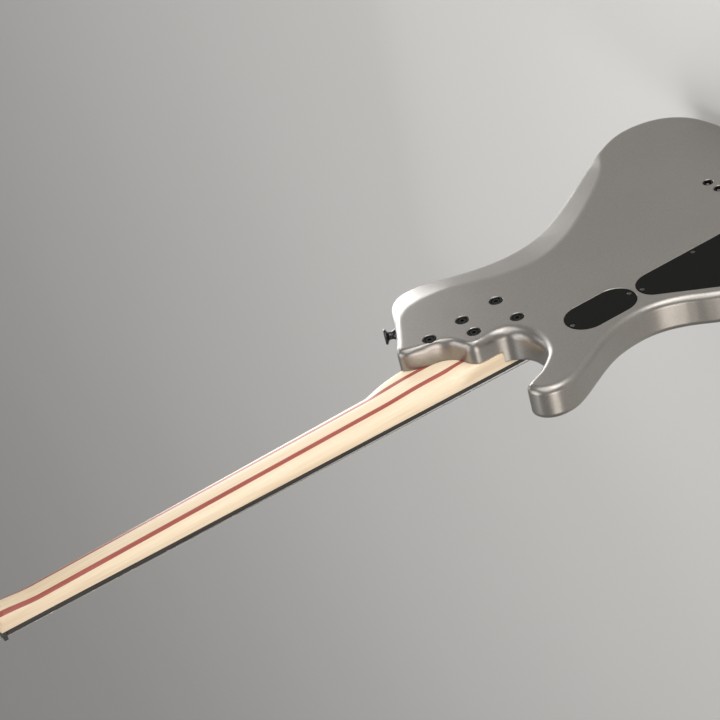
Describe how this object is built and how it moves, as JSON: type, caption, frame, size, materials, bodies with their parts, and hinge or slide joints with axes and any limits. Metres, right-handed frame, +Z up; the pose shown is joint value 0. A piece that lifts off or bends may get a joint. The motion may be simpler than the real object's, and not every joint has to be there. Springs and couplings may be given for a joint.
{
  "type": "electric bass guitar",
  "caption": "Solid-body electric bass guitar with bolt-on striped neck, string-through body, sloped back contour and black hardware.",
  "frame": {"origin": "on the centre line where the strings leave the nut, in the glue plane between the neck and its fretboard", "axes": "+Z up the neck to the headstock, -Y to the strings, +Y to the flat back, +X to the highest string's side"},
  "size_m": [0.3673, 0.0658, 1.1677],
  "materials": {
    "silver_paint": "satin metallic silver paint over solid wood",
    "maple": "satin maple with two rose-red stripes",
    "black_wood": "oiled black wood",
    "black_plastic": "matte black",
    "rod_steel": "plain steel",
    "black_metal": "gloss black plated metal",
    "battery_case": "printed tin can",
    "circuit_board": "green board",
    "steel": "plain steel",
    "string_metal": "round-wound steel",
    "coil_block": "potted coil"
  },
  "bodies": {
    "instrument": {"body": "silver_paint", "neck": "maple", "fretboard": "black_wood", "nut": "black_plastic", "truss_rod": "rod_steel", "truss_rod_cover": "black_plastic", "output_jack": "black_metal", "battery": "battery_case", "preamp_board": "circuit_board", "bridge_plate": "black_metal", "control_cover": "black_plastic", "battery_cover": "black_plastic", "pickup_cover_neck": "black_plastic", "pickup_cover_bridge": "black_plastic", "pickup_coil_neck": "coil_block", "pickup_coil_bridge": "coil_block", "strap_button_upper": "black_metal", "strap_button_end": "black_metal", "neck_bolt_1": "black_metal", "neck_bolt_2": "black_metal", "neck_bolt_3": "black_metal", "neck_bolt_4": "black_metal", "neck_bolt_5": "black_metal", "tuner_housing_e": "black_metal", "string_ferrule_e": "black_metal", "string_e": "string_metal", "tuner_housing_a": "black_metal", "string_ferrule_a": "black_metal", "string_a": "string_metal", "tuner_housing_d": "black_metal", "string_ferrule_d": "black_metal", "string_d": "string_metal", "tuner_housing_g": "black_metal", "string_ferrule_g": "black_metal", "string_g": "string_metal", "pot_volume": "steel", "pot_blend": "steel", "pot_bass": "steel", "pot_treble": "steel"},
    "tuner_key_e": {"tuner_key_e": "black_metal"},
    "tuner_post_e": {"tuner_post_e": "black_metal"},
    "intonation_screw_e": {"intonation_screw_e": "steel"},
    "saddle_e": {"saddle_e": "black_metal"},
    "tuner_key_a": {"tuner_key_a": "black_metal"},
    "tuner_post_a": {"tuner_post_a": "black_metal"},
    "intonation_screw_a": {"intonation_screw_a": "steel"},
    "saddle_a": {"saddle_a": "black_metal"},
    "tuner_key_d": {"tuner_key_d": "black_metal"},
    "tuner_post_d": {"tuner_post_d": "black_metal"},
    "intonation_screw_d": {"intonation_screw_d": "steel"},
    "saddle_d": {"saddle_d": "black_metal"},
    "tuner_key_g": {"tuner_key_g": "black_metal"},
    "tuner_post_g": {"tuner_post_g": "black_metal"},
    "intonation_screw_g": {"intonation_screw_g": "steel"},
    "saddle_g": {"saddle_g": "black_metal"},
    "knob_volume": {"knob_volume": "black_metal"},
    "knob_blend": {"knob_blend": "black_metal"},
    "knob_bass": {"knob_bass": "black_metal"},
    "knob_treble": {"knob_treble": "black_metal"}
  },
  "joints": [
    {"name": "key_e_turn", "type": "hinge", "parent": "instrument", "child": "tuner_key_e", "pos_m": [-0.0255, 0.03261, 0.05278], "axis": [-1, 0, 0], "continuous": true},
    {"name": "post_e_turn", "type": "hinge", "parent": "instrument", "child": "tuner_post_e", "pos_m": [-0.0255, 0.01231, 0.06753], "axis": [0, -0.9848, 0.1736], "continuous": true, "deforming": ["string_e"]},
    {"name": "saddle_e_slide", "type": "slide", "parent": "instrument", "child": "saddle_e", "axis": [0, 0, 1], "range_m": [-0.005, 0.005], "deforming": ["string_e"]},
    {"name": "intonation_e_turn", "type": "hinge", "parent": "instrument", "child": "intonation_screw_e", "pos_m": [-0.0246, -0.0047, -0.9021], "axis": [0, 0, 1], "range_deg": [-3600, 3600]},
    {"name": "key_a_turn", "type": "hinge", "parent": "instrument", "child": "tuner_key_a", "pos_m": [-0.0255, 0.04268, 0.1099], "axis": [-1, 0, 0], "continuous": true},
    {"name": "post_a_turn", "type": "hinge", "parent": "instrument", "child": "tuner_post_a", "pos_m": [-0.0255, 0.02238, 0.12465], "axis": [0, -0.9848, 0.1736], "continuous": true, "deforming": ["string_a"]},
    {"name": "saddle_a_slide", "type": "slide", "parent": "instrument", "child": "saddle_a", "axis": [0, 0, 1], "range_m": [-0.005, 0.005], "deforming": ["string_a"]},
    {"name": "intonation_a_turn", "type": "hinge", "parent": "instrument", "child": "intonation_screw_a", "pos_m": [-0.0056, -0.0047, -0.9021], "axis": [0, 0, 1], "range_deg": [-3600, 3600]},
    {"name": "key_d_turn", "type": "hinge", "parent": "instrument", "child": "tuner_key_d", "pos_m": [0.0255, 0.04268, 0.1099], "axis": [1, 0, 0], "continuous": true},
    {"name": "post_d_turn", "type": "hinge", "parent": "instrument", "child": "tuner_post_d", "pos_m": [0.0255, 0.02238, 0.12465], "axis": [0, -0.9848, 0.1736], "continuous": true, "deforming": ["string_d"]},
    {"name": "saddle_d_slide", "type": "slide", "parent": "instrument", "child": "saddle_d", "axis": [0, 0, 1], "range_m": [-0.005, 0.005], "deforming": ["string_d"]},
    {"name": "intonation_d_turn", "type": "hinge", "parent": "instrument", "child": "intonation_screw_d", "pos_m": [0.0134, -0.0047, -0.9021], "axis": [0, 0, 1], "range_deg": [-3600, 3600]},
    {"name": "key_g_turn", "type": "hinge", "parent": "instrument", "child": "tuner_key_g", "pos_m": [0.0255, 0.03261, 0.05278], "axis": [1, 0, 0], "continuous": true},
    {"name": "post_g_turn", "type": "hinge", "parent": "instrument", "child": "tuner_post_g", "pos_m": [0.0255, 0.01231, 0.06753], "axis": [0, -0.9848, 0.1736], "continuous": true, "deforming": ["string_g"]},
    {"name": "saddle_g_slide", "type": "slide", "parent": "instrument", "child": "saddle_g", "axis": [0, 0, 1], "range_m": [-0.005, 0.005], "deforming": ["string_g"]},
    {"name": "intonation_g_turn", "type": "hinge", "parent": "instrument", "child": "intonation_screw_g", "pos_m": [0.0324, -0.0047, -0.9021], "axis": [0, 0, 1], "range_deg": [-3600, 3600]},
    {"name": "knob_volume_turn", "type": "hinge", "parent": "instrument", "child": "knob_volume", "pos_m": [0.084, 0.0051, -0.741], "axis": [0, -1, 0], "range_deg": [-140, 140]},
    {"name": "knob_blend_turn", "type": "hinge", "parent": "instrument", "child": "knob_blend", "pos_m": [0.09617, 0.0051, -0.76133], "axis": [0, -1, 0], "range_deg": [-140, 140]},
    {"name": "knob_bass_turn", "type": "hinge", "parent": "instrument", "child": "knob_bass", "pos_m": [0.10833, 0.0051, -0.78167], "axis": [0, -1, 0], "range_deg": [-140, 140]},
    {"name": "knob_treble_turn", "type": "hinge", "parent": "instrument", "child": "knob_treble", "pos_m": [0.1205, 0.0051, -0.802], "axis": [0, -1, 0], "range_deg": [-140, 140]}
  ],
  "couplings": [
    {"joint": "post_e_turn", "follows": "key_e_turn", "ratio": 0.05},
    {"joint": "intonation_e_turn", "follows": "saddle_e_slide", "rad_per_m": -12566},
    {"joint": "post_a_turn", "follows": "key_a_turn", "ratio": 0.05},
    {"joint": "intonation_a_turn", "follows": "saddle_a_slide", "rad_per_m": -12566},
    {"joint": "post_d_turn", "follows": "key_d_turn", "ratio": 0.05},
    {"joint": "intonation_d_turn", "follows": "saddle_d_slide", "rad_per_m": -12566},
    {"joint": "post_g_turn", "follows": "key_g_turn", "ratio": 0.05},
    {"joint": "intonation_g_turn", "follows": "saddle_g_slide", "rad_per_m": -12566}
  ]
}
